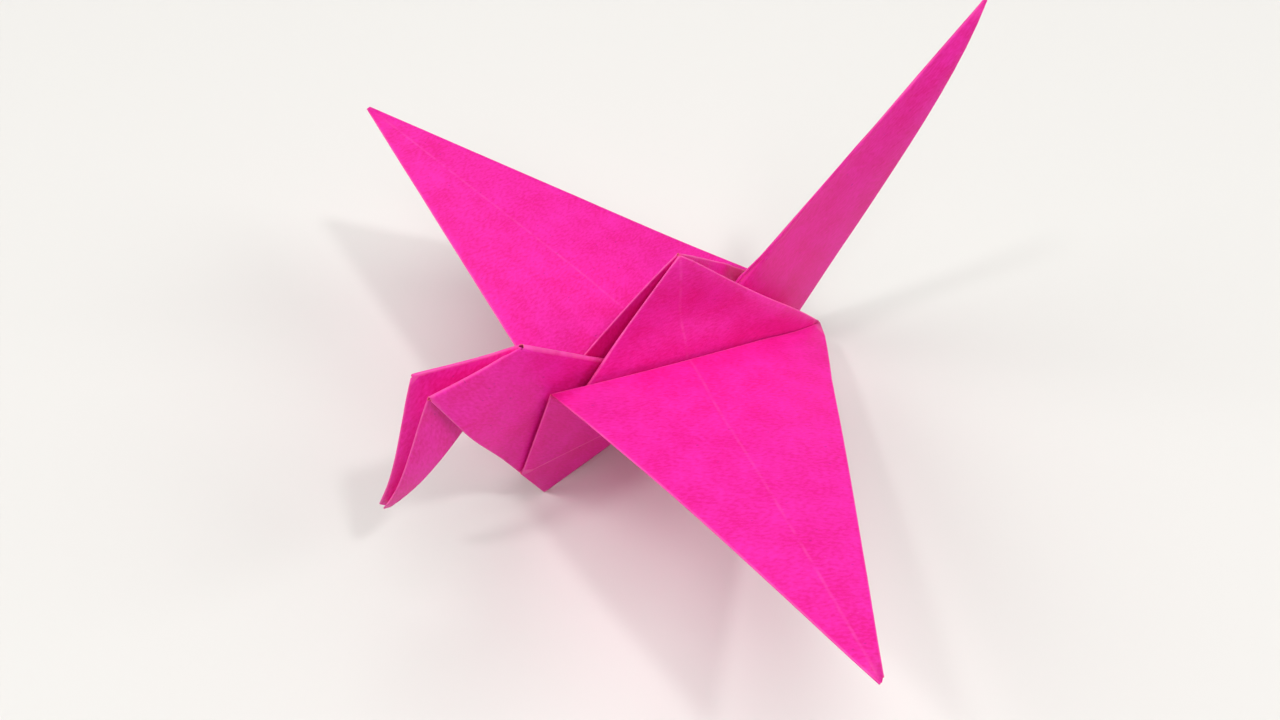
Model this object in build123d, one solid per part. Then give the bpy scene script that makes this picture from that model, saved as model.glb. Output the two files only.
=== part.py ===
"""A folded paper crane: one square sheet, creased and layered as the real fold is, in one solid.

Millimetres. +Z is up, the neck points to -X, the tail to +X, and the wings reach out along Y.
The near wing is on the -Y side. The crane stands on the four lower corners of its body.

The sheet's corners become the beak, the tail tip and the two wing tips, and its centre becomes
the top of the back. Every facet keeps its own place in the pile of layers, neighbouring facets
are joined round a small bend, and the whole surface then gets the thickness of the paper.
"""

from build123d import *
import math
import os

# Paper
paper_side = 150.0
paper_thickness = 0.10
layer_pitch = 0.20  # from the middle of one layer to the middle of the next
slit_half_gap = 0.15  # between the raw edges that meet under each wing

# Neck and head, measured along the paper
neck_crease_past_slit = 1.24  # on the spine, beyond the end of the slit
neck_crease_below_corner = 10.82  # on the folded edge, below the body's corner
head_crease_spine = 36.87  # from the sharp beak tip
head_crease_edge = 28.42  # from the sharp beak tip

# Tail
tail_crease_past_slit = 2.84
tail_crease_below_corner = 10.63

# Wings
wing_crease_above_corner = 17.39  # on the leading edge
near_wing_lean = -2.72  # degrees, of the strip between hinge and wing crease, outwards from upright
near_wing_fold = 82.36  # degrees, at the wing crease
far_wing_lean = -6.3  # degrees
far_wing_fold = 85.6  # degrees
near_wing_arch = 2.06  # rise of the wing's middle above a flat wing
arch_peak = 0.42  # share of the wing's length at which the arch is highest
near_wing_ridge = 0.021  # drop for each millimetre to the side of the wing's middle crease
far_wing_ridge = 0.021

# Blunt corners of the sheet: what is missing along each edge from the sharp corner
near_front_blunt = 1.0
near_rear_blunt = 2.13
near_middle_blunt = 1.0
far_front_blunt = 1.24
far_rear_blunt = 1.0
far_middle_blunt = 1.0
beak_blunt = 3.29
tail_blunt = 1.6

# How far the two halves stand apart, as half widths
neck_corner_half_spread = 2.36
neck_foot_half_spread = 2.34
head_half_spread = 2.76
tail_corner_half_spread = 6.08
tail_foot_half_spread = 1.18
beak_opening = 0.6  # more for the far side of the beak's end

# How far a hand-made fold strays from the middle plane, towards the far side
back_drift = -1.33
head_drift = -1.61
beak_drift = 0.81
tail_drift = -2.17

# How far the paper swells out between its creases, as it does where a hand has pressed it
near_back_swell = 1.48  # over the tail
far_back_swell = 0.79
neck_notch_swell = 0.41  # of the far side, over the neck
tail_edge_swell = 2.20
tail_edge_lift = 2.23
head_spine_swell = 2.45
head_spine_push = -0.48
head_spine_lift = 0.66
near_crease_swell = 1.97
near_crease_lift = 1.55
far_crease_sag = 1.18
far_crease_press = 0.41

# Fineness of the model
edge_steps = 6  # each edge of a facet is cut into so many spans

# Lengths that the square and its creases fix, measured from its centre and corners
corner_reach = paper_side / math.sqrt(2)  # centre to corner
half_side = paper_side / 2
shoulder = half_side * math.tan(math.radians(22.5))  # body corner to the middle line
folded_edge = half_side / math.cos(math.radians(22.5))  # body corner to a sheet corner
roof_edge = math.hypot(shoulder, corner_reach - half_side)  # centre to a body corner
point_angle = math.radians(22.5)  # of each layer at a sheet corner

NEAR, FAR = -1, 1

# Places in the pile of layers, counted outwards from the middle plane
ROOF_LAYER = 3
WING_LAYER = 4
FLAP_LAYER = 5
TIP_SQUEEZE = 1.0  # layers lie closer together at the back, the beak and the tail tip
INNER_TIP_LAYER = 0.5 * TIP_SQUEEZE
OUTER_TIP_LAYER = 1.5 * TIP_SQUEEZE

# How far a facet's edge stays back from its crease, in layer pitches
BEND_INSET = 0.5
TIP_INSET = 0.5 * TIP_SQUEEZE
NEST_INSET = 1.5
FLAT_INSET = 0.3

UNDER_BEND_SHARE = 0.7  # how far across the body's underside the wall's layer turns up
SIDE_BLEND = 0.35  # width of the middle in which a swelling of one side fades out


def on_spine(distance):
    """Point of the spine in the flat fold, by its distance from the sheet corner"""
    return (0.0, distance)


def on_edge(distance):
    """Point of the folded edge in the flat fold, by its distance from the sheet corner"""
    return (distance * math.sin(point_angle), distance * math.cos(point_angle))


def apart(first, second):
    """Distance between two points of the flat fold"""
    return math.hypot(first[0] - second[0], first[1] - second[1])


def reach(length, sideways):
    """What is left of a length in the middle plane when its ends differ sideways"""
    return math.sqrt(length**2 - sideways**2)


def circles_meet(centre, radius, other, other_radius):
    """The two points of the middle plane at the given distances from two others"""
    span = math.hypot(other[0] - centre[0], other[1] - centre[1])
    along = (radius**2 - other_radius**2 + span**2) / (2 * span)
    across = math.sqrt(radius**2 - along**2)
    ux, uz = (other[0] - centre[0]) / span, (other[1] - centre[1]) / span
    foot = (centre[0] + along * ux, centre[1] + along * uz)
    return [(foot[0] - k * across * uz, foot[1] + k * across * ux) for k in (1, -1)]


def lower(points):
    return min(points, key=lambda point: point[1])


def outer(points):
    """The point further from the body's middle"""
    return max(points, key=lambda point: abs(point[0]))


def inner(points):
    return min(points, key=lambda point: abs(point[0]))


def fold_leg(corner, corner_spread, foot_spread, spine_length, edge_length):
    """Crease of an inside reverse fold: its end on the spine and its foot on the folded edge"""
    spine_flat, foot_flat = on_spine(spine_length), on_edge(edge_length)
    corner_flat = on_edge(folded_edge)
    to_corner = reach(apart(spine_flat, corner_flat), corner_spread)
    crotch = inner(circles_meet((0, 0), corner_reach - spine_length, corner, to_corner))
    along_crease = reach(apart(spine_flat, foot_flat), foot_spread)
    up_edge = reach(folded_edge - edge_length, foot_spread - corner_spread)
    foot = lower(circles_meet(crotch, along_crease, corner, up_edge))
    return crotch, foot


def fold_middle_plane():
    """Places every crease end in the middle plane, with the top of the back at the origin"""
    neck_reach = reach(roof_edge, neck_corner_half_spread)
    tail_reach = reach(roof_edge, tail_corner_half_spread)
    hinge = reach(2 * shoulder, tail_corner_half_spread - neck_corner_half_spread)
    cosine = (neck_reach**2 + tail_reach**2 - hinge**2) / (2 * neck_reach * tail_reach)
    half_angle = math.acos(cosine) / 2
    sine, cosine = math.sin(half_angle), math.cos(half_angle)
    place = {"back": (0.0, 0.0)}
    place["neck corner"] = (-neck_reach * sine, -neck_reach * cosine)
    place["tail corner"] = (tail_reach * sine, -tail_reach * cosine)

    neck_spine = half_side + neck_crease_past_slit
    neck_edge = folded_edge - neck_crease_below_corner
    place["neck crotch"], place["neck foot"] = fold_leg(
        place["neck corner"], neck_corner_half_spread, neck_foot_half_spread, neck_spine, neck_edge
    )
    tail_spine = half_side + tail_crease_past_slit
    tail_edge = folded_edge - tail_crease_below_corner
    place["tail crotch"], place["tail foot"] = fold_leg(
        place["tail corner"], tail_corner_half_spread, tail_foot_half_spread, tail_spine, tail_edge
    )

    crown_flat, jaw_flat = on_spine(head_crease_spine), on_edge(head_crease_edge)
    foot_to_crown = reach(apart(on_edge(neck_edge), crown_flat), neck_foot_half_spread)
    neck_length = neck_spine - head_crease_spine
    place["crown"] = outer(
        circles_meet(place["neck crotch"], neck_length, place["neck foot"], foot_to_crown)
    )
    crown_to_jaw = reach(apart(crown_flat, jaw_flat), head_half_spread)
    foot_to_jaw = reach(neck_edge - head_crease_edge, head_half_spread - neck_foot_half_spread)
    place["jaw"] = outer(
        circles_meet(place["crown"], crown_to_jaw, place["neck foot"], foot_to_jaw)
    )
    jaw_to_beak = reach(head_crease_edge, head_half_spread)
    place["beak"] = lower(
        circles_meet(place["crown"], head_crease_spine, place["jaw"], jaw_to_beak)
    )
    foot_to_tip = reach(tail_edge, tail_foot_half_spread)
    place["tail tip"] = outer(
        circles_meet(place["tail crotch"], tail_spine, place["tail foot"], foot_to_tip)
    )
    return place


def stand(place):
    """Turns the middle plane until both pairs of feet are level, and sets them on the ground"""
    foot_x = place["tail foot"][0] - place["neck foot"][0]
    foot_z = place["tail foot"][1] - place["neck foot"][1]
    slope = math.atan2(foot_z, foot_x)
    sine, cosine = math.sin(slope), math.cos(slope)
    level = {name: (x * cosine + z * sine, z * cosine - x * sine) for name, (x, z) in place.items()}
    ground = level["neck foot"][1]
    return {name: (x, z - ground) for name, (x, z) in level.items()}


def fold_sheet():
    """Every crease end in space, by name and side"""
    flat = stand(fold_middle_plane())
    middle = {"back": back_drift, "crown": head_drift, "beak": beak_drift, "tail tip": tail_drift}
    middle.update({"neck crotch": 0.0, "tail crotch": 0.0})
    spread = {
        "neck corner": neck_corner_half_spread,
        "neck foot": neck_foot_half_spread,
        "jaw": head_half_spread,
        "tail corner": tail_corner_half_spread,
        "tail foot": tail_foot_half_spread,
    }
    place = {}
    for side in (NEAR, FAR):
        for name, y in middle.items():
            place[name, side] = Vector(flat[name][0], y, flat[name][1])
        for name, y in spread.items():
            place[name, side] = Vector(flat[name][0], side * y, flat[name][1])
        opening = Vector(0, beak_opening if side == FAR else 0.0, 0)
        place["beak spine", side] = cut_back(place, side, "beak", "crown", beak_blunt)
        place["beak edge", side] = cut_back(place, side, "beak", "jaw", beak_blunt) + opening
        place["tail spine", side] = cut_back(place, side, "tail tip", "tail crotch", tail_blunt)
        place["tail edge", side] = cut_back(place, side, "tail tip", "tail foot", tail_blunt)
        place.update(fold_wing(place, side))
    return place


def cut_back(place, side, tip, other, distance):
    """End of a blunt tip's edge: back from the sharp tip along the edge to another place"""
    return place[tip, side] + (place[other, side] - place[tip, side]).normalized() * distance


def fold_wing(place, side):
    """The strip above the hinge and the wing that folds down from it"""
    lean, fold = (near_wing_lean, near_wing_fold) if side == NEAR else (far_wing_lean, far_wing_fold)
    front, rear = place["neck corner", side], place["tail corner", side]
    along = (rear - front).normalized()
    up = (Vector(0, 0, 1) - along * along.Z).normalized()
    out = along.cross(up) * -side
    rise = up * math.cos(math.radians(lean)) + out * math.sin(math.radians(lean))
    share = wing_crease_above_corner / folded_edge
    root = front + along * (share * shoulder) + rise * (share * half_side)
    flat_tip = front + along * shoulder + rise * half_side
    crease = Axis((0, 0, 0), rear - root)
    turned = [root + (flat_tip - root).rotate(crease, k * fold) for k in (1, -1)]
    tip = max(turned, key=lambda point: point.Y * side)
    crease_middle = rear + (root - rear) * (1 / (2 - share))
    near = side == NEAR
    front_blunt = near_front_blunt if near else far_front_blunt
    rear_blunt = near_rear_blunt if near else far_rear_blunt
    middle_blunt = near_middle_blunt if near else far_middle_blunt
    return {
        ("wing root", side): root,
        ("wing front tip", side): tip + (root - tip).normalized() * front_blunt,
        ("wing rear tip", side): tip + (rear - tip).normalized() * rear_blunt,
        ("wing middle tip", side): tip + (crease_middle - tip).normalized() * middle_blunt,
        ("slit end", side): (front + rear) * 0.5,
        ("slit bend", side): crease_middle,
    }


class Sheet:
    """The middle surface of the paper: points, triangles and the edge rows of each facet"""

    def __init__(self):
        self.points = []
        self.triangles = []
        self.rows = {}
        self.outward = {}

    def add_point(self, point):
        self.points.append(point)
        return len(self.points) - 1

    def add_facet(self, name, corners, places, insets, flipped):
        """corners: names in order; insets: for each edge, in layer pitches, at start and at end"""
        count = len(corners)
        if flipped:
            corners, places = corners[::-1], places[::-1]
            insets = [(end, start) for start, end in insets[-2::-1] + insets[-1:]]
        trimmed = []
        for k in range(count):
            back = (places[k - 1] - places[k]).normalized()
            ahead = (places[(k + 1) % count] - places[k]).normalized()
            sine = back.cross(ahead).length
            inward = back * insets[k][0] + ahead * insets[k - 1][1]
            trimmed.append(places[k] + inward * (layer_pitch / sine))
        grid = self.add_triangle(trimmed) if count == 3 else self.add_quad(trimmed)
        middle = sum(trimmed, Vector(0, 0, 0)) * (1 / count)
        for k in range(count):
            start, end = k, (k + 1) % count
            along = (trimmed[end] - trimmed[start]).normalized()
            away = (trimmed[start] + trimmed[end]) * 0.5 - middle
            away = (away - along * away.dot(along)).normalized()
            self.rows[name, corners[start], corners[end]] = (grid[k], True)
            self.rows[name, corners[end], corners[start]] = (grid[k][::-1], False)
            self.outward[name, corners[start], corners[end]] = away
            self.outward[name, corners[end], corners[start]] = away

    def add_triangle(self, corners):
        """Grid of a three-sided facet; returns its three edge rows"""
        n = edge_steps
        a, b, c = corners
        ids = {}
        for i in range(n + 1):
            for j in range(n + 1 - i):
                point = a * ((n - i - j) / n) + b * (i / n) + c * (j / n)
                ids[i, j] = self.add_point(point)
        for i in range(n):
            for j in range(n - i):
                self.triangles.append((ids[i, j], ids[i + 1, j], ids[i, j + 1]))
                if i + j < n - 1:
                    self.triangles.append((ids[i + 1, j], ids[i + 1, j + 1], ids[i, j + 1]))
        steps = range(n + 1)
        return [
            [ids[i, 0] for i in steps],
            [ids[n - j, j] for j in steps],
            [ids[0, n - j] for j in steps],
        ]

    def add_quad(self, corners):
        """Grid of a four-sided facet; returns its four edge rows"""
        n = edge_steps
        a, b, c, d = corners
        ids = {}
        for i in range(n + 1):
            for j in range(n + 1):
                s, t = i / n, j / n
                point = (a * (1 - s) + b * s) * (1 - t) + (d * (1 - s) + c * s) * t
                ids[i, j] = self.add_point(point)
        for i in range(n):
            for j in range(n):
                self.triangles.append((ids[i, j], ids[i + 1, j], ids[i + 1, j + 1]))
                self.triangles.append((ids[i, j], ids[i + 1, j + 1], ids[i, j + 1]))
        steps = range(n + 1)
        return [
            [ids[i, 0] for i in steps],
            [ids[n, j] for j in steps],
            [ids[n - i, n] for i in steps],
            [ids[0, n - j] for j in steps],
        ]

    def join(self, first, second, start, end):
        """A bend between two facets along the crease from start to end"""
        first_row, forward = self.rows[first, start, end]
        second_row, _ = self.rows[second, start, end]
        away = (self.outward[first, start, end] + self.outward[second, start, end]) * 0.5
        crease = (self.points[first_row[-1]] - self.points[first_row[0]]).normalized()
        bend_row = []
        for a, b in zip(first_row, second_row):
            across = self.points[a] - self.points[b]
            across = across - crease * across.dot(crease)
            middle = (self.points[a] + self.points[b]) * 0.5
            bend_row.append(self.add_point(middle + away * (across.length / 2)))
        self.add_strip(first_row, bend_row, forward)
        self.add_strip(bend_row, second_row, forward)

    def join_under(self, first, second, start, end, drop):
        """A bend that first crosses below the second facet's edge, and then rises to it"""
        first_row, forward = self.rows[first, start, end]
        second_row, _ = self.rows[second, start, end]
        away = self.outward[first, start, end]
        bend_row = []
        for a, b in zip(first_row, second_row):
            below = self.points[a] + away * drop
            y = below.Y + UNDER_BEND_SHARE * (self.points[b].Y - below.Y)
            bend_row.append(self.add_point(Vector(below.X, y, below.Z)))
        self.add_strip(first_row, bend_row, forward)
        self.add_strip(bend_row, second_row, forward)

    def sew(self, first, second, start, end):
        """Brings the edges of two halves of a facet together along the line from start to end"""
        first_row, _ = self.rows[first, start, end]
        second_row, _ = self.rows[second, start, end]
        for kept, moved in zip(first_row, second_row):
            self.points[moved] = self.points[kept]

    def merge_points(self):
        """Keeps one of the points that two halves of a facet have in the same place"""
        first_at, kept = {}, []
        number = []
        for point in self.points:
            key = (round(point.X, 4), round(point.Y, 4), round(point.Z, 4))
            if key not in first_at:
                first_at[key] = len(kept)
                kept.append(point)
            number.append(first_at[key])
        self.points = kept
        self.triangles = [tuple(number[k] for k in corners) for corners in self.triangles]

    def add_strip(self, first_row, second_row, forward):
        for k in range(len(first_row) - 1):
            a, b = first_row[k], first_row[k + 1]
            d, c = second_row[k], second_row[k + 1]
            pair = [(b, a, d), (b, d, c)] if forward else [(a, b, c), (a, c, d)]
            self.triangles.extend(pair)


def add_side_facets(sheet, place, side):
    """The facets above one wing's hinge, each in two halves that meet in the flat middle crease"""
    bend, none = (BEND_INSET, BEND_INSET), (0, 0)

    def at(name, layer):
        return place[name, side] + Vector(0, side * layer * layer_pitch, 0)

    def facet(name, corners, layers, insets):
        places = [at(*entry) for entry in zip(corners, layers)]
        sheet.add_facet((name, side), corners, places, insets, side == FAR)

    roof_layers = [OUTER_TIP_LAYER, ROOF_LAYER, ROOF_LAYER]
    wing_layers = [WING_LAYER] * 4
    facet("roof front", ["back", "neck corner", "slit end"], roof_layers, [bend, bend, none])
    facet("roof rear", ["back", "slit end", "tail corner"], roof_layers, [none, bend, bend])
    facet(
        "strip front",
        ["neck corner", "wing root", "slit bend", "slit end"],
        wing_layers,
        [bend, bend, none, bend],
    )
    facet("strip rear", ["slit end", "slit bend", "tail corner"], wing_layers[:3], [none, bend, bend])
    facet(
        "wing front",
        ["wing root", "wing front tip", "wing middle tip", "slit bend"],
        wing_layers,
        [bend, none, none, bend],
    )
    facet(
        "wing rear",
        ["slit bend", "wing middle tip", "wing rear tip", "tail corner"],
        wing_layers,
        [none, none, bend, bend],
    )
    sheet.sew(("roof front", side), ("roof rear", side), "back", "slit end")
    sheet.sew(("strip front", side), ("strip rear", side), "slit end", "slit bend")
    sheet.sew(("wing front", side), ("wing rear", side), "slit bend", "wing middle tip")
    sheet.join(("roof front", side), ("strip front", side), "neck corner", "slit end")
    sheet.join(("roof rear", side), ("strip rear", side), "slit end", "tail corner")
    sheet.join(("strip front", side), ("wing front", side), "wing root", "slit bend")
    sheet.join(("strip rear", side), ("wing rear", side), "slit bend", "tail corner")


def add_quarter(sheet, place, side, leg):
    """The facets between one leg's spine and the slit under one wing"""
    root, rear = place["wing root", side], place["tail corner", side]
    down = (root - rear).cross(place["wing rear tip", side] - rear).normalized()
    down = down * (-1 if down.Z > 0 else 1)

    def at(name, layer, under=0.0):
        """under: how many layers below the wing's upper layer"""
        out = Vector(0, side * layer * layer_pitch, 0)
        return place[name, side] + out + down * (under * layer_pitch)

    corner, foot, crotch = f"{leg} corner", f"{leg} foot", f"{leg} crotch"
    neck = leg == "neck"
    flipped = (side == NEAR) == neck
    bend, nest, none = (BEND_INSET, BEND_INSET), (NEST_INSET, NEST_INSET), (0, 0)
    to_tip, from_tip = (BEND_INSET, TIP_INSET), (TIP_INSET, BEND_INSET)
    slit = (slit_half_gap / layer_pitch, slit_half_gap / layer_pitch)
    flat = (FLAT_INSET, FLAT_INSET)

    def facet(name, entries, insets):
        corners = [entry[0] for entry in entries]
        places = [at(*entry) for entry in entries]
        sheet.add_facet((name, leg, side), corners, places, insets, flipped)

    # Under the wing: the flap's root beside the body and its part that turns with the wing
    root_ends = [(corner, FLAP_LAYER), ("slit bend", FLAP_LAYER), ("slit end", FLAP_LAYER)]
    root_insets = [nest, slit, flat]
    wing_start, wing_tip = corner, "wing rear tip"
    if neck:
        root_ends.insert(1, ("wing root", FLAP_LAYER))
        root_insets.insert(0, bend)
        wing_start, wing_tip = "wing root", "wing front tip"
    wing_corners = [wing_tip, "wing middle tip", "slit bend", wing_start]
    facet("flap", root_ends, root_insets)
    facet(
        "wing flap",
        [(name, WING_LAYER, 1) for name in wing_corners],
        [none, slit, nest, bend],
    )

    # The body's wall below the hinge, and the layer inside it up to the spine
    facet(
        "wall",
        [(corner, FLAP_LAYER), ("slit end", FLAP_LAYER), (foot, 3)],
        [(FLAT_INSET, NEST_INSET), (BEND_INSET, 1), (BEND_INSET, NEST_INSET)],
    )
    facet(
        "lining",
        [("back", INNER_TIP_LAYER), (corner, 2), (foot, 2), (crotch, 2.5)],
        [bend, (NEST_INSET, BEND_INSET), (2, 2.5), (2.9, 0.9)],
    )

    # The leg beyond its reverse fold: the layer with the spine, and the one with the raw edge
    if neck:
        facet(
            "leg",
            [(crotch, 1.5), (foot, 1), ("jaw", 1), ("crown", 3.5)],
            [(2.5, 2), bend, nest, (3.5, 1.5)],
        )
        facet(
            "leg inside",
            [(crotch, 0.5), ("crown", 2.5), ("jaw", 0), (foot, 0)],
            [(1.5, 4), (2.5, 2.2), bend, (NEST_INSET, FLAT_INSET)],
        )
        facet(
            "head",
            [
                ("crown", 0.5),
                ("jaw", -2),
                ("beak edge", INNER_TIP_LAYER),
                ("beak spine", INNER_TIP_LAYER),
            ],
            [nest, to_tip, none, from_tip],
        )
        facet(
            "head side",
            [
                ("crown", 1.5),
                ("beak spine", OUTER_TIP_LAYER),
                ("beak edge", OUTER_TIP_LAYER),
                ("jaw", -1),
            ],
            [(2.5, slit[1]), none, from_tip, (2.2, 2.5)],
        )
    else:
        facet(
            "leg",
            [
                (crotch, 1.5),
                (foot, 1),
                ("tail edge", OUTER_TIP_LAYER),
                ("tail spine", OUTER_TIP_LAYER),
            ],
            [(2.5, 2), to_tip, none, (OUTER_TIP_LAYER, 1.5)],
        )
        facet(
            "leg inside",
            [
                (crotch, 0.5),
                ("tail spine", INNER_TIP_LAYER),
                ("tail edge", INNER_TIP_LAYER),
                (foot, 0),
            ],
            [(1.5, OUTER_TIP_LAYER), none, from_tip, (NEST_INSET, FLAT_INSET)],
        )


def join_quarter(sheet, side, leg):
    """The bends round one quarter of the sheet"""
    corner, foot, crotch = f"{leg} corner", f"{leg} foot", f"{leg} crotch"
    neck = leg == "neck"
    flap, wing_flap = ("flap", leg, side), ("wing flap", leg, side)
    wall, lining = ("wall", leg, side), ("lining", leg, side)
    beyond, inside = ("leg", leg, side), ("leg inside", leg, side)
    if neck:
        sheet.join(("strip front", side), flap, corner, "wing root")
        sheet.join(("wing front", side), wing_flap, "wing root", "wing front tip")
        sheet.join(flap, wing_flap, "wing root", "slit bend")
    else:
        sheet.join(("wing rear", side), wing_flap, corner, "wing rear tip")
        sheet.join(flap, wing_flap, corner, "slit bend")
    sheet.join(flap, wall, corner, "slit end")
    roof = ("roof front" if neck else "roof rear", side)
    sheet.join(roof, lining, "back", corner)
    sheet.join(lining, wall, corner, foot)
    sheet.join(lining, beyond, foot, crotch)
    crease_row = sheet.rows[inside, foot, crotch]
    sheet.rows[inside, foot, "slit end"] = crease_row
    sheet.outward[inside, foot, "slit end"] = sheet.outward[inside, foot, crotch]
    sheet.join_under(wall, inside, foot, "slit end", 1.5 * layer_pitch)
    if neck:
        head, head_side = ("head", leg, side), ("head side", leg, side)
        sheet.join(beyond, inside, foot, "jaw")
        sheet.join(beyond, head, "jaw", "crown")
        sheet.join(inside, head_side, "jaw", "crown")
        sheet.join(head, head_side, "jaw", "beak edge")
    else:
        sheet.join(beyond, inside, foot, "tail edge")


def join_spines(sheet):
    """The folds that join the near half to the far half"""
    spines = [
        ("lining", "neck", "back", "neck crotch"),
        ("lining", "tail", "back", "tail crotch"),
        ("leg", "neck", "neck crotch", "crown"),
        ("head", "neck", "crown", "beak spine"),
        ("leg", "tail", "tail crotch", "tail spine"),
    ]
    for name, leg, start, end in spines:
        sheet.join((name, leg, NEAR), (name, leg, FAR), start, end)


def ease(value):
    """Smooth step from 0 to 1"""
    value = min(max(value, 0.0), 1.0)
    return value * value * (3 - 2 * value)


def hump(share, peak):
    """0 at both ends of a line and 1 at its peak"""
    share = min(max(share, 0.0), 1.0)
    if peak < 0.5:
        share, peak = 1 - share, 1 - peak
    share = share ** (math.log(0.5) / math.log(peak))
    return 4 * share * (1 - share)


def swellings():
    """Lines beside which the paper swells

    Each has its two ends, its side or 0 for both, the share of the line where it swells most, the
    width at both ends over which it fades out, whether only paper outside the line moves, and how
    far the paper moves at most.
    """
    head_move = Vector(head_spine_push, -head_spine_swell, head_spine_lift)
    near_crease_move = Vector(0, -near_crease_swell, near_crease_lift)
    far_crease_move = Vector(0, -far_crease_press, -far_crease_sag)
    tail_move = Vector(0, -tail_edge_swell, tail_edge_lift)
    return [
        ("back", "neck corner", FAR, 0.3, (12, 12), False, Vector(0, neck_notch_swell, 0)),
        ("back", "tail corner", NEAR, 0.5, (9, 9), False, Vector(0, -near_back_swell, 0)),
        ("back", "tail corner", FAR, 0.4, (9, 9), False, Vector(0, far_back_swell, 0)),
        ("tail foot", "tail edge", NEAR, 0.7, (28, 1.5), False, tail_move),
        ("crown", "beak spine", 0, 0.6, (9, 16), False, head_move),
        ("wing root", "tail corner", NEAR, 0.5, (18, 18), True, near_crease_move),
        ("wing root", "tail corner", FAR, 0.25, (18, 18), True, far_crease_move),
    ]


def swell(place, swelling):
    """The movement of any point by one swelling, as a function of the point"""
    start, end, side, peak, widths, outside_only, move = swelling
    middle_start = (place[start, NEAR] + place[start, FAR]) * 0.5
    middle_end = (place[end, NEAR] + place[end, FAR]) * 0.5
    line_start = place[start, side] if side else middle_start
    line_end = place[end, side] if side else middle_end
    axis = line_end - line_start

    def movement(point):
        share = (point - line_start).dot(axis) / axis.dot(axis)
        away = (point - line_start - axis * share).length
        share = min(max(share, 0.0), 1.0)
        width = widths[0] + (widths[1] - widths[0]) * share
        weight = hump(share, peak) * ease(1 - away / width)
        if outside_only:
            line_y = line_start.Y + axis.Y * share
            weight *= ease(side * (point.Y - line_y) + 1)
        elif side:
            middle_y = middle_start.Y + (middle_end.Y - middle_start.Y) * share
            weight *= ease(side * (point.Y - middle_y) / SIDE_BLEND)
        return move * weight

    return movement


def arch(place, side):
    """The lift of any point of one wing: its arch, and the ridge along its middle crease"""
    root, rear = place["wing root", side], place["tail corner", side]
    tip, middle = place["wing middle tip", side], place["slit bend", side]
    height, ridge = (near_wing_arch, near_wing_ridge) if side == NEAR else (0.0, far_wing_ridge)
    along = (rear - root).normalized()
    out = tip - root
    out = out - along * out.dot(along)
    line = (tip - middle).normalized()
    sideways = line.cross(out.cross(along)).normalized()

    def lift(point):
        share = (point - root).dot(out) / out.dot(out)
        if share <= 0 or point.Y * side < root.Y * side:
            return Vector(0, 0, 0)
        off_line = (point - middle).dot(sideways)
        drop = ridge * (math.sqrt(off_line**2 + 1) - 1) * ease(3 * share)
        return Vector(0, 0, height * hump(share, arch_peak) - drop)

    return lift


def bend_paper(place, points):
    """Swells the paper between its creases, and then arches the wings"""
    movements = [swell(place, swelling) for swelling in swellings()]
    lifts = [arch(place, side) for side in (NEAR, FAR)]
    bent = []
    for point in points:
        point = point + sum((movement(point) for movement in movements), Vector(0, 0, 0))
        bent.append(point + lifts[0](point) + lifts[1](point))
    return bent


def thicken(sheet):
    """Offsets the middle surface to both sides and closes the raw edges"""
    normals = [Vector(0, 0, 0) for _ in sheet.points]
    for a, b, c in sheet.triangles:
        pa, pb, pc = sheet.points[a], sheet.points[b], sheet.points[c]
        normal = (pb - pa).cross(pc - pa)
        for k in (a, b, c):
            normals[k] = normals[k] + normal
    half = paper_thickness / 2
    top = [point + n.normalized() * half for point, n in zip(sheet.points, normals)]
    bottom = [point - n.normalized() * half for point, n in zip(sheet.points, normals)]
    facets = [(top[a], top[b], top[c]) for a, b, c in sheet.triangles]
    facets += [(bottom[a], bottom[c], bottom[b]) for a, b, c in sheet.triangles]
    edges = {(t[k], t[(k + 1) % 3]) for t in sheet.triangles for k in range(3)}
    for a, b in sorted(edges):
        if (b, a) not in edges:
            facets.append((top[b], top[a], bottom[a]))
            facets.append((top[b], bottom[a], bottom[b]))
    return facets


def build_sheet():
    """The whole folded sheet as triangles, before it becomes a solid"""
    place = fold_sheet()
    sheet = Sheet()
    for side in (NEAR, FAR):
        add_side_facets(sheet, place, side)
        for leg in ("neck", "tail"):
            add_quarter(sheet, place, side, leg)
            join_quarter(sheet, side, leg)
    join_spines(sheet)
    sheet.merge_points()
    sheet.points = bend_paper(place, sheet.points)
    return sheet


def main():
    triangles = thicken(build_sheet())
    faces = [Face(Wire.make_polygon(corners)) for corners in triangles]
    folded_sheet = Solid(Shell(faces))
    box = folded_sheet.bounding_box()
    middle = (box.min + box.max) * 0.5
    folded_sheet = folded_sheet.translate(Vector(-middle.X, -middle.Y, -box.min.Z))
    os.makedirs("parts", exist_ok=True)
    export_step(folded_sheet, "parts/folded_sheet.step")
    print("faces", len(faces), "size", folded_sheet.bounding_box().size)
    print("volume", round(folded_sheet.volume, 1), "sheet", paper_side**2 * paper_thickness)


main()
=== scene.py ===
"""Looks of the folded paper crane: one pink sheet on a pale floor. Metres, +Z up.

The sheet is folded again from the same crease sizes as the solid, only finer. Every facet knows
its place on the flat square, so creases, fibres and grain run on across the folds. Lengths of
the fold are in millimetres, as in the part, until the sheet becomes a mesh.
"""

import math

import bpy
import numpy as np
from mathutils import Matrix, Vector


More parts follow.
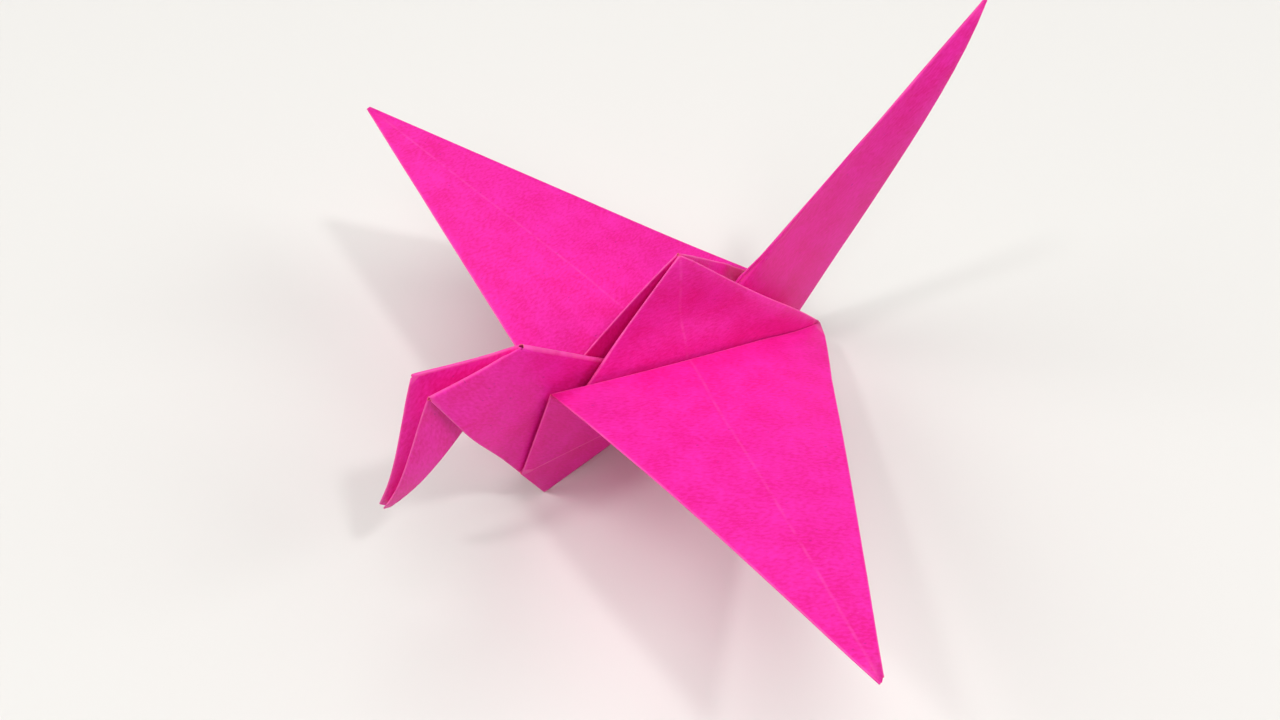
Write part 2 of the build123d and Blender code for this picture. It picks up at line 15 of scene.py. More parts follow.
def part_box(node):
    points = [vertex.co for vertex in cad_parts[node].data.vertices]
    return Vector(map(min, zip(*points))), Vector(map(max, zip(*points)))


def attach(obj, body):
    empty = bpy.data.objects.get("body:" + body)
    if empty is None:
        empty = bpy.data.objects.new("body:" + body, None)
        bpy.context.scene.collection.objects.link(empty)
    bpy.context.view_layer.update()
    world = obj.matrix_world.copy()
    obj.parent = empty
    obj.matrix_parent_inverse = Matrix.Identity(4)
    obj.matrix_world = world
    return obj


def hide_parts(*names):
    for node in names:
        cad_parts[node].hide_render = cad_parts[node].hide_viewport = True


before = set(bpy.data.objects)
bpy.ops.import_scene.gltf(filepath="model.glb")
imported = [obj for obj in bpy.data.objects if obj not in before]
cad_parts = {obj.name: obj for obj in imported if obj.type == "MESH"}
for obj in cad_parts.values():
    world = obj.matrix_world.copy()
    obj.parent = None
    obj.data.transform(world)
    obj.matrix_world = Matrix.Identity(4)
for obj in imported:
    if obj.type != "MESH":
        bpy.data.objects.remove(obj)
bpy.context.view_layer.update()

NEAR, FAR = -1, 1
millimetre = 0.001

# Paper
paper_side = 150.0
paper_thickness = 0.10
layer_pitch = 0.20
slit_half_gap = 0.15

# Creases, measured along the paper
neck_crease_past_slit = 1.24
neck_crease_below_corner = 10.82
head_crease_spine = 36.87
head_crease_edge = 28.42
tail_crease_past_slit = 2.84
tail_crease_below_corner = 10.63
wing_crease_above_corner = 17.39

# Wings: how far the strip above the hinge leans out and how far the wing folds down from it, in
# degrees; how high the wing arches and at which share of it; the ridge along its middle crease
wing_lean = {NEAR: -2.72, FAR: -6.3}
wing_fold = {NEAR: 82.36, FAR: 85.6}
wing_arch = {NEAR: 2.06, FAR: 0.0}
arch_peak = 0.42
wing_ridge = 0.021
ridge_radius = 0.5

# How far the two halves stand apart, and how far the fold strays from the middle plane
half_spread = {
    "neck corner": 2.36,
    "neck foot": 2.34,
    "jaw": 2.76,
    "tail corner": 6.08,
    "tail foot": 1.18,
}
drift = {"back": -1.33, "crown": -1.61, "beak": 0.81, "tail tip": -2.17}
beak_opening = {NEAR: 0.0, FAR: 0.15}

# Blunt corners of the sheet, measured back from the sharp corner
blunt_front = {NEAR: 1.0, FAR: 1.24}
blunt_middle = {NEAR: 1.0, FAR: 1.05}
blunt_rear = {NEAR: 2.13, FAR: 1.05}
blunt_beak = {NEAR: 3.6, FAR: 3.29}
blunt_tail = 1.65

# Where the paper swells between its creases: line, side or 0 for both, the share of the line at
# which it swells most, the width at both ends, whether only paper outside moves, and how far
swellings = [
    ("back", "neck corner", FAR, 0.3, (12, 12), False, (0, 0.41, 0)),
    ("back", "tail corner", NEAR, 0.5, (9, 9), False, (0, -1.48, 0)),
    ("back", "tail corner", FAR, 0.4, (9, 9), False, (0, 0.79, 0)),
    ("tail foot", "tail edge", NEAR, 0.7, (28, 1.5), False, (0, -2.20, 2.23)),
    ("tail crotch", "tail spine", FAR, 0.25, (7, 2), False, (0, -1.2, 1.2)),
    ("crown", "beak spine", 0, 0.6, (9, 16), False, (-0.48, -2.45, 0.66)),
    ("wing root", "tail corner", NEAR, 0.5, (18, 18), True, (0, -1.97, 1.55)),
    ("wing root", "tail corner", FAR, 0.25, (18, 18), True, (0, -0.41, -1.18)),
]

# How far past the middle plane a swelling of one side reaches its full strength
side_blend = 0.35

# Places in the pile of layers, counted outwards from the middle plane
roof_layer, wing_layer, flap_layer = 3, 4, 5
inner_tip_layer, outer_tip_layer = 0.5, 1.5
crown_layer = {"leg": 2.1, "leg inside": 1.5, "head side": 0.95, "head": 0.4}

# Bends: how far across one goes below an edge before it rises to it; steps along and round them
under_bend_share = 0.7
edge_steps = 16
bend_steps = 6

corner_reach = paper_side / math.sqrt(2)
half_side = paper_side / 2
point_angle = math.radians(22.5)
shoulder = half_side * math.tan(point_angle)
folded_edge = half_side / math.cos(point_angle)
roof_edge = math.hypot(shoulder, corner_reach - half_side)
wing_share = wing_crease_above_corner / folded_edge


def on_edge(distance):
    """Point of the folded edge in the flat fold, by its distance from the sheet corner"""
    return (distance * math.sin(point_angle), distance * math.cos(point_angle))


def apart(first, second):
    return math.hypot(first[0] - second[0], first[1] - second[1])


def reach(length, sideways):
    """What is left of a length in the middle plane when its ends differ sideways"""
    return math.sqrt(length**2 - sideways**2)


def circles_meet(centre, radius, other, other_radius):
    """The two points of the middle plane at the given distances from two others"""
    span = apart(centre, other)
    along = (radius**2 - other_radius**2 + span**2) / (2 * span)
    across = math.sqrt(radius**2 - along**2)
    ux, uz = (other[0] - centre[0]) / span, (other[1] - centre[1]) / span
    foot = (centre[0] + along * ux, centre[1] + along * uz)
    return [(foot[0] - k * across * uz, foot[1] + k * across * ux) for k in (1, -1)]


def lower(points):
    return min(points, key=lambda point: point[1])


def outer(points):
    return max(points, key=lambda point: abs(point[0]))


def inner(points):
    return min(points, key=lambda point: abs(point[0]))


# Lengths along the spine and the folded edge, from the sheet corner
spine_length = {
    "neck": half_side + neck_crease_past_slit,
    "tail": half_side + tail_crease_past_slit,
}
edge_length = {
    "neck": folded_edge - neck_crease_below_corner,
    "tail": folded_edge - tail_crease_below_corner,
}


def fold_leg(corner, leg):
    """Crease of an inside reverse fold: its end on the spine and its foot on the folded edge"""
    corner_spread, foot_spread = half_spread[f"{leg} corner"], half_spread[f"{leg} foot"]
    spine_flat, foot_flat = (0.0, spine_length[leg]), on_edge(edge_length[leg])
    to_corner = reach(apart(spine_flat, on_edge(folded_edge)), corner_spread)
    crotch = inner(circles_meet((0, 0), corner_reach - spine_length[leg], corner, to_corner))
    along_crease = reach(apart(spine_flat, foot_flat), foot_spread)
    up_edge = reach(folded_edge - edge_length[leg], foot_spread - corner_spread)
    return crotch, lower(circles_meet(crotch, along_crease, corner, up_edge))


def fold_middle_plane():
    """Places every crease end in the middle plane, with the top of the back at the origin"""
    neck_reach = reach(roof_edge, half_spread["neck corner"])
    tail_reach = reach(roof_edge, half_spread["tail corner"])
    hinge = reach(2 * shoulder, half_spread["tail corner"] - half_spread["neck corner"])
    cosine = (neck_reach**2 + tail_reach**2 - hinge**2) / (2 * neck_reach * tail_reach)
    half_angle = math.acos(cosine) / 2
    sine, cosine = math.sin(half_angle), math.cos(half_angle)
    place = {"back": (0.0, 0.0)}
    place["neck corner"] = (-neck_reach * sine, -neck_reach * cosine)
    place["tail corner"] = (tail_reach * sine, -tail_reach * cosine)
    for leg in ("neck", "tail"):
        place[f"{leg} crotch"], place[f"{leg} foot"] = fold_leg(place[f"{leg} corner"], leg)

    crown_flat, jaw_flat = (0.0, head_crease_spine), on_edge(head_crease_edge)
    foot, jaw_spread = place["neck foot"], half_spread["jaw"]
    foot_to_crown = reach(apart(on_edge(edge_length["neck"]), crown_flat), half_spread["neck foot"])
    neck_length = spine_length["neck"] - head_crease_spine
    place["crown"] = outer(circles_meet(place["neck crotch"], neck_length, foot, foot_to_crown))
    crown_to_jaw = reach(apart(crown_flat, jaw_flat), jaw_spread)
    foot_to_jaw = reach(edge_length["neck"] - head_crease_edge, jaw_spread - half_spread["neck foot"])
    place["jaw"] = outer(circles_meet(place["crown"], crown_to_jaw, foot, foot_to_jaw))
    jaw_to_beak = reach(head_crease_edge, jaw_spread)
    place["beak"] = lower(
        circles_meet(place["crown"], head_crease_spine, place["jaw"], jaw_to_beak)
    )
    foot_to_tip = reach(edge_length["tail"], half_spread["tail foot"])
    place["tail tip"] = outer(
        circles_meet(place["tail crotch"], spine_length["tail"], place["tail foot"], foot_to_tip)
    )
    return place


def stand(place):
    """Turns the middle plane until both pairs of feet are level, and sets them on the ground"""
    foot_x = place["tail foot"][0] - place["neck foot"][0]
    foot_z = place["tail foot"][1] - place["neck foot"][1]
    slope = math.atan2(foot_z, foot_x)
    sine, cosine = math.sin(slope), math.cos(slope)
    level = {name: (x * cosine + z * sine, z * cosine - x * sine) for name, (x, z) in place.items()}
    ground = level["neck foot"][1]
    return {name: (x, z - ground) for name, (x, z) in level.items()}


def cut_back(start, end, distance):
    """End of a blunt tip's edge: back from the sharp tip along the edge to another place"""
    return start + (end - start).normalized() * distance


def fold_wing(place, side):
    """The strip above the hinge and the wing that folds down from it"""
    front, rear = place["neck corner", side], place["tail corner", side]
    along = (rear - front).normalized()
    up = (Vector((0, 0, 1)) - along * along.z).normalized()
    out = along.cross(up) * -side
    lean = math.radians(wing_lean[side])
    rise = up * math.cos(lean) + out * math.sin(lean)
    root = front + along * (wing_share * shoulder) + rise * (wing_share * half_side)
    flat_tip = front + along * shoulder + rise * half_side
    crease = (rear - root).normalized()
    fold = math.radians(wing_fold[side])
    turned = [root + Matrix.Rotation(k * fold, 3, crease) @ (flat_tip - root) for k in (1, -1)]
    tip = max(turned, key=lambda point: point.y * side)
    crease_middle = rear + (root - rear) * (1 / (2 - wing_share))
    return {
        ("wing root", side): root,
        ("wing front tip", side): cut_back(tip, root, blunt_front[side]),
        ("wing rear tip", side): cut_back(tip, rear, blunt_rear[side]),
        ("wing middle tip", side): cut_back(tip, crease_middle, blunt_middle[side]),
        ("slit end", side): (front + rear) * 0.5,
        ("slit bend", side): crease_middle,
    }


def fold_sheet():
    """Every crease end in space, by name and side"""
    flat = stand(fold_middle_plane())
    place = {}
    for side in (NEAR, FAR):
        for name, (x, z) in flat.items():
            y = side * half_spread[name] if name in half_spread else drift.get(name, 0.0)
            place[name, side] = Vector((x, y, z))
        crown, jaw, beak = (place[name, side] for name in ("crown", "jaw", "beak"))
        opening = Vector((0, beak_opening[side], 0))
        place["beak spine", side] = cut_back(beak, crown, blunt_beak[side])
        place["beak edge", side] = cut_back(beak, jaw, blunt_beak[side]) + opening
        crotch, foot, tip = (place[name, side] for name in ("tail crotch", "tail foot", "tail tip"))
        place["tail spine", side] = cut_back(tip, crotch, blunt_tail)
        place["tail edge", side] = cut_back(tip, foot, blunt_tail)
        place.update(fold_wing(place, side))
    return place


def on_square(leg, side):
    """Where the crease ends of one quarter lie on the flat square, whose centre is the back"""
    way = -1 if leg == "neck" else 1

    def from_leg(distance, degrees):
        turn = math.radians(degrees)
        return (way * (corner_reach - distance * math.cos(turn)), side * distance * math.sin(turn))

    def from_wing(distance, degrees):
        turn = math.radians(degrees)
        return (way * distance * math.sin(turn), side * (corner_reach - distance * math.cos(turn)))

    wing_middle = half_side * (1 - wing_share) / (1 - wing_share / 2)
    return {
        "back": (0.0, 0.0),
        f"{leg} corner": from_leg(folded_edge, 22.5),
        f"{leg} foot": from_leg(edge_length[leg], 22.5),
        f"{leg} crotch": from_leg(spine_length[leg], 0),
        "crown": from_leg(head_crease_spine, 0),
        "jaw": from_leg(head_crease_edge, 22.5),
        "beak spine": from_leg(blunt_beak[side], 0),
        "beak edge": from_leg(blunt_beak[side], 22.5),
        "tail spine": from_leg(blunt_tail, 0),
        "tail edge": from_leg(blunt_tail, 22.5),
        "slit end": from_leg(half_side, 45),
        "hinge middle": (0.0, side * shoulder),
        "wing root": from_wing(folded_edge * (1 - wing_share), 22.5),
        "wing front tip": from_wing(blunt_front[side], 22.5),
        "wing rear tip": from_wing(blunt_rear[side], 22.5),
        "wing middle tip": from_wing(blunt_middle[side], 45),
        "tip middle": from_wing(blunt_middle[side], 0),
        "slit bend": from_wing(wing_middle, 45),
        "crease middle": from_wing(wing_middle, 0),
        "crown raw": from_leg(head_crease_spine, 45),
        "beak raw": from_leg(blunt_beak[side], 45),
        "tail raw": from_leg(blunt_tail, 45),
    }


class Sheet:
    """The middle surface of the paper. A point is x, y, z and its two places on the flat square"""

    def __init__(self):
        self.points = []
        self.triangles = []
        self.rows = {}
        self.outward = {}

    def add_point(self, point):
        self.points.append(point)
        return len(self.points) - 1

    def add_facet(self, name, corners, places, insets, flipped):
        """corners: names in order; insets: for each edge, in layer pitches, at start and at end"""
        count = len(corners)
        if flipped:
            corners, places = corners[::-1], places[::-1]
            insets = [(end, start) for start, end in insets[-2::-1] + insets[-1:]]
        trimmed = []
        for k in range(count):
            back = places[k - 1] - places[k]
            ahead = places[(k + 1) % count] - places[k]
            back = back / np.linalg.norm(back[:3])
            ahead = ahead / np.linalg.norm(ahead[:3])
            sine = np.linalg.norm(np.cross(back[:3], ahead[:3]))
            inward = back * insets[k][0] + ahead * insets[k - 1][1]
            trimmed.append(places[k] + inward * (layer_pitch / sine))
        grid = self.add_triangle(trimmed) if count == 3 else self.add_quad(trimmed)
        middle = sum(trimmed)[:3] / count
        for k in range(count):
            end = (k + 1) % count
            along = trimmed[end][:3] - trimmed[k][:3]
            along = along / np.linalg.norm(along)
            away = (trimmed[k] + trimmed[end])[:3] / 2 - middle
            away = away - along * away.dot(along)
            away = away / np.linalg.norm(away)
            self.rows[name, corners[k], corners[end]] = (grid[k], True)
            self.rows[name, corners[end], corners[k]] = (grid[k][::-1], False)
            self.outward[name, corners[k], corners[end]] = away
            self.outward[name, corners[end], corners[k]] = away

    def add_triangle(self, corners):
        """Grid of a three-sided facet; returns its three edge rows"""
        n = edge_steps
        a, b, c = corners
        ids = {}
        for i in range(n + 1):
            for j in range(n + 1 - i):
                ids[i, j] = self.add_point((a * (n - i - j) + b * i + c * j) / n)
        for i in range(n):
            for j in range(n - i):
                self.triangles.append((ids[i, j], ids[i + 1, j], ids[i, j + 1]))
                if i + j < n - 1:
                    self.triangles.append((ids[i + 1, j], ids[i + 1, j + 1], ids[i, j + 1]))
        steps = range(n + 1)
        return [
            [ids[i, 0] for i in steps],
            [ids[n - j, j] for j in steps],
            [ids[0, n - j] for j in steps],
        ]

    def add_quad(self, corners):
        """Grid of a four-sided facet; returns its four edge rows"""
        n = edge_steps
        a, b, c, d = corners
        ids = {}
        for i in range(n + 1):
            for j in range(n + 1):
                s, t = i / n, j / n
                ids[i, j] = self.add_point((a * (1 - s) + b * s) * (1 - t) + (d * (1 - s) + c * s) * t)
        for i in range(n):
            for j in range(n):
                self.triangles.append((ids[i, j], ids[i + 1, j], ids[i + 1, j + 1]))
                self.triangles.append((ids[i, j], ids[i + 1, j + 1], ids[i, j + 1]))
        steps = range(n + 1)
        return [
            [ids[i, 0] for i in steps],
            [ids[n, j] for j in steps],
            [ids[n - i, n] for i in steps],
            [ids[0, n - j] for j in steps],
        ]

    def join(self, first, second, start, end):
        """A round bend between two facets along the crease from start to end"""
        first_row, forward = self.rows[first, start, end]
        second_row, _ = self.rows[second, start, end]
        out_first, out_second = self.outward[first, start, end], self.outward[second, start, end]
        crease = self.points[first_row[-1]][:3] - self.points[first_row[0]][:3]
        crease = crease / np.linalg.norm(crease)
        # Handles of a third of the gap join two facets flat; of two thirds, they give a round half turn
        handle_share = (3 + out_first.dot(out_second)) / 6
        rows = [first_row]
        for step in range(1, bend_steps):
            t = step / bend_steps
            row = []
            for a, b in zip(first_row, second_row):
                a, b = self.points[a], self.points[b]
                across = a[:3] - b[:3]
                across = across - crease * across.dot(crease)
                handle = np.linalg.norm(across) * handle_share
                point = a * (1 - t) + b * t
                first_handle = a[:3] + out_first * handle
                second_handle = b[:3] + out_second * handle
                point[:3] = (
                    a[:3] * (1 - t) ** 3
                    + first_handle * (3 * t * (1 - t) ** 2)
                    + second_handle * (3 * t**2 * (1 - t))
                    + b[:3] * t**3
                )
                row.append(self.add_point(point))
            rows.append(row)
        rows.append(second_row)
        for k in range(bend_steps):
            self.add_strip(rows[k], rows[k + 1], forward)

    def join_under(self, first, second, start, end, drop):
        """A bend that first crosses below the second facet's edge, and then rises to it"""
        first_row, forward = self.rows[first, start, end]
        second_row, _ = self.rows[second, start, end]
        away = self.outward[first, start, end]
        row = []
        for a, b in zip(first_row, second_row):
            a, b = self.points[a], self.points[b]
            point = (a + b) / 2
            below = a[:3] + away * drop
            point[:3] = (below[0], below[1] + under_bend_share * (b[1] - below[1]), below[2])
            row.append(self.add_point(point))
        self.add_strip(first_row, row, forward)
        self.add_strip(row, second_row, forward)

    def add_strip(self, first_row, second_row, forward):
        for k in range(len(first_row) - 1):
            a, b = first_row[k], first_row[k + 1]
            d, c = second_row[k], second_row[k + 1]
            self.triangles.extend([(b, a, d), (b, d, c)] if forward else [(a, b, c), (a, c, d)])

    def sew(self, first, second, start, end):
        """Brings the edges of two halves of a facet together along the line from start to end"""
        first_row, _ = self.rows[first, start, end]
        second_row, _ = self.rows[second, start, end]
        for kept, moved in zip(first_row, second_row):
            self.points[moved] = self.points[kept]

    def merged(self):
        """Points, and triangles in which the halves of a facet share their points"""
        table = np.array(self.points)
        _, first_at, number = np.unique(
            table.round(6), axis=0, return_index=True, return_inverse=True
        )
        return table[first_at], number.reshape(-1)[np.array(self.triangles)]


def point_of(place, square, side, name, layer, under=None, flat_name=None):
    """A facet's corner: its crease end, moved out to the facet's own layer"""
    where = place[name, side] + Vector((0, side * layer * layer_pitch, 0))
    if under is not None:
        where = where + under * layer_pitch
    return np.array([*where, *square[flat_name or name]])


def add_side_facets(sheet, place, side):
    """The facets above one wing's hinge, each in two halves that meet in the flat middle crease"""
    bend, none = (0.5, 0.5), (0, 0)
    # Here the sheet runs on across the wing's middle, where the layer under the wing has the slit
    square = {**on_square("tail", side), **on_square("neck", side)}
    square["tail corner"] = on_square("tail", side)["tail corner"]
    square["wing rear tip"] = on_square("tail", side)["wing rear tip"]
    square["slit end"] = square["hinge middle"]
    square["slit bend"] = square["crease middle"]
    square["wing middle tip"] = square["tip middle"]

    def facet(name, corners, layer, insets):
        layers = [outer_tip_layer if corner == "back" else layer for corner in corners]
        places = [point_of(place, square, side, *entry) for entry in zip(corners, layers)]
        sheet.add_facet((name, side), corners, places, insets, side == FAR)

    facet("roof front", ["back", "neck corner", "slit end"], roof_layer, [bend, bend, none])
    facet("roof rear", ["back", "slit end", "tail corner"], roof_layer, [none, bend, bend])
    front_corners = ["neck corner", "wing root", "slit bend", "slit end"]
    facet("strip front", front_corners, wing_layer, [bend, bend, none, bend])
    facet("strip rear", ["slit end", "slit bend", "tail corner"], wing_layer, [none, bend, bend])
    front_corners = ["wing root", "wing front tip", "wing middle tip", "slit bend"]
    facet("wing front", front_corners, wing_layer, [bend, none, none, bend])
    rear_corners = ["slit bend", "wing middle tip", "wing rear tip", "tail corner"]
    facet("wing rear", rear_corners, wing_layer, [none, none, bend, bend])
    sheet.sew(("roof front", side), ("roof rear", side), "back", "slit end")
    sheet.sew(("strip front", side), ("strip rear", side), "slit end", "slit bend")
    sheet.sew(("wing front", side), ("wing rear", side), "slit bend", "wing middle tip")
    sheet.join(("roof front", side), ("strip front", side), "neck corner", "slit end")
    sheet.join(("roof rear", side), ("strip rear", side), "slit end", "tail corner")
    sheet.join(("strip front", side), ("wing front", side), "wing root", "slit bend")
    sheet.join(("strip rear", side), ("wing rear", side), "slit bend", "tail corner")


def add_quarter(sheet, place, side, leg):
    """The facets between one leg's spine and the slit under one wing"""
    square = on_square(leg, side)
    root, rear = place["wing root", side], place["tail corner", side]
    down = (root - rear).cross(place["wing rear tip", side] - rear).normalized()
    down = down * (-1 if down.z > 0 else 1)
    corner, foot, crotch = f"{leg} corner", f"{leg} foot", f"{leg} crotch"
    neck = leg == "neck"
    flipped = (side == NEAR) == neck
    bend, nest, none, flat = (0.5, 0.5), (1.5, 1.5), (0, 0), (0.3, 0.3)
    slit = (slit_half_gap / layer_pitch, slit_half_gap / layer_pitch)

    def facet(name, entries, insets):
        names = [entry[0] for entry in entries]
        places = [point_of(place, square, side, *entry) for entry in entries]
        sheet.add_facet((name, leg, side), names, places, insets, flipped)

    # Under the wing: the flap's root beside the body and its part that turns with the wing
    root_corners = [(corner, flap_layer), ("slit bend", flap_layer), ("slit end", flap_layer)]
    root_insets = [nest, slit, flat]
    wing_start, wing_tip = corner, "wing rear tip"
    if neck:
        root_corners.insert(1, ("wing root", flap_layer))
        root_insets.insert(0, bend)
        wing_start, wing_tip = "wing root", "wing front tip"
    facet("flap", root_corners, root_insets)
    wing_corners = [wing_tip, "wing middle tip", "slit bend", wing_start]
    wing_places = [(name, wing_layer, down) for name in wing_corners]
    facet("wing flap", wing_places, [none, slit, nest, bend])

    # The body's wall below the hinge, and the layer inside it up to the spine
    facet(
        "wall",
        [(corner, flap_layer), ("slit end", flap_layer), (foot, 3)],
        [(0.3, 1.5), (0.5, 1), (0.5, 1.5)],
    )
    facet(
        "lining",
        [("back", inner_tip_layer), (corner, 2), (foot, 2), (crotch, 2.5)],
        [bend, (1.5, 0.5), (2, 2.5), (2.9, 0.9)],
    )

    # The leg beyond its reverse fold: the layer with the spine, and the one with the raw edge
    if neck:
        facet(
            "leg",
            [(crotch, 1.5), (foot, 1), ("jaw", 1), ("crown", crown_layer["leg"])],
            [(2.5, 2), bend, nest, (0.6, 0.3)],
        )
        facet(
            "leg inside",
            [
                (crotch, 0.5, None, "slit end"),
                ("crown", crown_layer["leg inside"], None, "crown raw"),
                ("jaw", 0),
                (foot, 0),
            ],
            [(1.5, 4), (2.5, 2.2), bend, (1.5, 0.3)],
        )
        facet(
            "head",
            [
                ("crown", crown_layer["head"]),
                ("jaw", -2),
                ("beak edge", inner_tip_layer),
                ("beak spine", inner_tip_layer),
            ],
            [flat, bend, none, bend],
        )
        facet(
            "head side",
            [
                ("crown", crown_layer["head side"], None, "crown raw"),
                ("beak spine", outer_tip_layer, None, "beak raw"),
                ("beak edge", outer_tip_layer),
                ("jaw", -1),
            ],
            [(2.5, slit[1]), none, bend, (2.2, 2.5)],
        )
    else:
        facet(
            "leg",
            [(crotch, 1.5), (foot, 1), ("tail edge", outer_tip_layer), ("tail spine", outer_tip_layer)],
            [(2.5, 2), bend, none, (outer_tip_layer, 1.5)],
        )
        facet(
            "leg inside",
            [
                (crotch, 0.5, None, "slit end"),
                ("tail spine", inner_tip_layer, None, "tail raw"),
                ("tail edge", inner_tip_layer),
                (foot, 0),
            ],
            [(1.5, outer_tip_layer), none, bend, (1.5, 0.3)],
        )


def join_quarter(sheet, side, leg):
    """The bends round one quarter of the sheet"""
    corner, foot, crotch = f"{leg} corner", f"{leg} foot", f"{leg} crotch"
    neck = leg == "neck"
    flap, wing_flap = ("flap", leg, side), ("wing flap", leg, side)
    wall, lining = ("wall", leg, side), ("lining", leg, side)
    beyond, inside = ("leg", leg, side), ("leg inside", leg, side)
    if neck:
        sheet.join(("strip front", side), flap, corner, "wing root")
        sheet.join(("wing front", side), wing_flap, "wing root", "wing front tip")
        sheet.join(flap, wing_flap, "wing root", "slit bend")
    else:
        sheet.join(("wing rear", side), wing_flap, corner, "wing rear tip")
        sheet.join(flap, wing_flap, corner, "slit bend")
    sheet.join(flap, wall, corner, "slit end")
    sheet.join(("roof front" if neck else "roof rear", side), lining, "back", corner)
    sheet.join(lining, wall, corner, foot)
    sheet.join(lining, beyond, foot, crotch)
    # The inside layer ends at the crotch in space, and at the slit on the flat square
    sheet.rows[inside, foot, "slit end"] = sheet.rows[inside, foot, crotch]
    sheet.join_under(wall, inside, foot, "slit end", 1.5 * layer_pitch)
    if neck:
        head, head_side = ("head", leg, side), ("head side", leg, side)
        sheet.join(beyond, inside, foot, "jaw")
        sheet.join(beyond, head, "jaw", "crown")
        sheet.join(inside, head_side, "jaw", "crown")
        sheet.join(head, head_side, "jaw", "beak edge")
    else:
        sheet.join(beyond, inside, foot, "tail edge")


def join_spines(sheet):
    """The folds that join the near half to the far half"""
    spines = [
        ("lining", "neck", "back", "neck crotch"),
        ("lining", "tail", "back", "tail crotch"),
        ("leg", "neck", "neck crotch", "crown"),
        ("head", "neck", "crown", "beak spine"),
        ("leg", "tail", "tail crotch", "tail spine"),
    ]
    for name, leg, start, end in spines:
        sheet.join((name, leg, NEAR), (name, leg, FAR), start, end)


def ease(value):
    """Smooth step from 0 to 1"""
    value = np.clip(value, 0, 1)
    return value * value * (3 - 2 * value)


def hump(share, peak):
    """0 at both ends of a line and 1 at its peak"""
    share = np.clip(share, 0, 1)
    if peak < 0.5:
        share, peak = 1 - share, 1 - peak
    share = share ** (math.log(0.5) / math.log(peak))
    return 4 * share * (1 - share)


def swell(points, place, start, end, side, peak, widths, outside_only, move):
    """The movement of every point by one swelling of the paper"""
    starts, ends = ({s: np.array(place[name, s]) for s in (NEAR, FAR)} for name in (start, end))
    middle_start = (starts[NEAR] + starts[FAR]) / 2
    middle_end = (ends[NEAR] + ends[FAR]) / 2
    line_start = starts[side] if side else middle_start
    axis = (ends[side] if side else middle_end) - line_start
    share = (points - line_start) @ axis / axis.dot(axis)
    away = np.linalg.norm(points - line_start - np.outer(share, axis), axis=1)
    share = np.clip(share, 0, 1)
    width = widths[0] + (widths[1] - widths[0]) * share
    weight = hump(share, peak) * ease(1 - away / width)
    if outside_only:
        weight = weight * ease(side * (points[:, 1] - line_start[1] - axis[1] * share) + 1)
    elif side:
        middle_y = middle_start[1] + (middle_end[1] - middle_start[1]) * share
        weight = weight * ease(side * (points[:, 1] - middle_y) / side_blend)
    return np.outer(weight, move)


def arch(points, place, side):
    """The lift of every point of one wing: its arch, and the ridge along its middle crease"""
    root, rear = (np.array(place[name, side]) for name in ("wing root", "tail corner"))
    tip, middle = (np.array(place[name, side]) for name in ("wing middle tip", "slit bend"))
    along = (rear - root) / np.linalg.norm(rear - root)
    out = tip - root
    out = out - along * out.dot(along)
    line = (tip - middle) / np.linalg.norm(tip - middle)
    sideways = np.cross(line, np.cross(out, along))
    sideways = sideways / np.linalg.norm(sideways)
    share = (points - root) @ out / out.dot(out)
    off_line = (points - middle) @ sideways
    drop = wing_ridge * (np.hypot(off_line, ridge_radius) - ridge_radius) * ease(3 * share)
    lift = wing_arch[side] * hump(share, arch_peak) - drop
    outside = (share > 0) & (points[:, 1] * side >= root[1] * side)
    return np.outer(np.where(outside, lift, 0), (0, 0, 1))


def fold_lines():
    """Every folded crease, as the two ends of a line on the flat square"""
    lines = []
    for leg in ("neck", "tail"):
        corner, foot, crotch = f"{leg} corner", f"{leg} foot", f"{leg} crotch"
        pairs = [
            ("back", corner),
            ("back", crotch),
            (corner, foot),
            (corner, "slit end"),
            (corner, "hinge middle"),
            (corner, "wing front tip"),
            (foot, crotch),
            (foot, "slit end"),
        ]
        if leg == "neck":
            pairs += [
                (crotch, "crown"),
                (foot, "jaw"),
                ("jaw", "crown"),
                ("jaw", "crown raw"),
                ("crown", "beak spine"),
                ("jaw", "beak edge"),
                ("wing root", "crease middle"),
                ("wing root", "slit bend"),
            ]
        else:
            pairs += [
                (crotch, "tail spine"),
                (foot, "tail edge"),
                (corner, "crease middle"),
                (corner, "slit bend"),
            ]
        for side in (NEAR, FAR):
            square = on_square(leg, side)
            lines += [(np.array(square[start]), np.array(square[end])) for start, end in pairs]
    return lines


def distance_to_fold(square):
    """How far each point of the flat square lies from the nearest folded crease"""
    nearest = np.full(len(square), np.inf)
    for start, end in fold_lines():
        axis = end - start
        share = np.clip((square - start) @ axis / axis.dot(axis), 0, 1)
        gap = np.linalg.norm(square - start - np.outer(share, axis), axis=1)
        nearest = np.minimum(nearest, gap)
    return nearest


def fold_paper():
    """Middle surface of the folded sheet: points in mm, triangles, and places on the square"""
    place = fold_sheet()
    sheet = Sheet()
    for side in (NEAR, FAR):
        add_side_facets(sheet, place, side)
        for leg in ("neck", "tail"):
            add_quarter(sheet, place, side, leg)
            join_quarter(sheet, side, leg)
    join_spines(sheet)
    table, triangles = sheet.merged()
    points = table[:, :3]
    points = points + sum(swell(points, place, *swelling) for swelling in swellings)
    points = points + arch(points, place, NEAR) + arch(points, place, FAR)
    return points, triangles, table[:, 3:]


def fold_to_frame(points):
    """Where the fold's own zero lies in the frame, in metres: the box is centred as the solid's"""
    low, high = points.min(0) * millimetre, points.max(0) * millimetre
    cad_low, cad_high = (np.array(corner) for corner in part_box("folded_sheet"))
    shift = (cad_low + cad_high) / 2 - (low + high) / 2
    shift[2] = cad_low[2] - low[2] + paper_thickness / 2 * millimetre
    return Vector(shift)


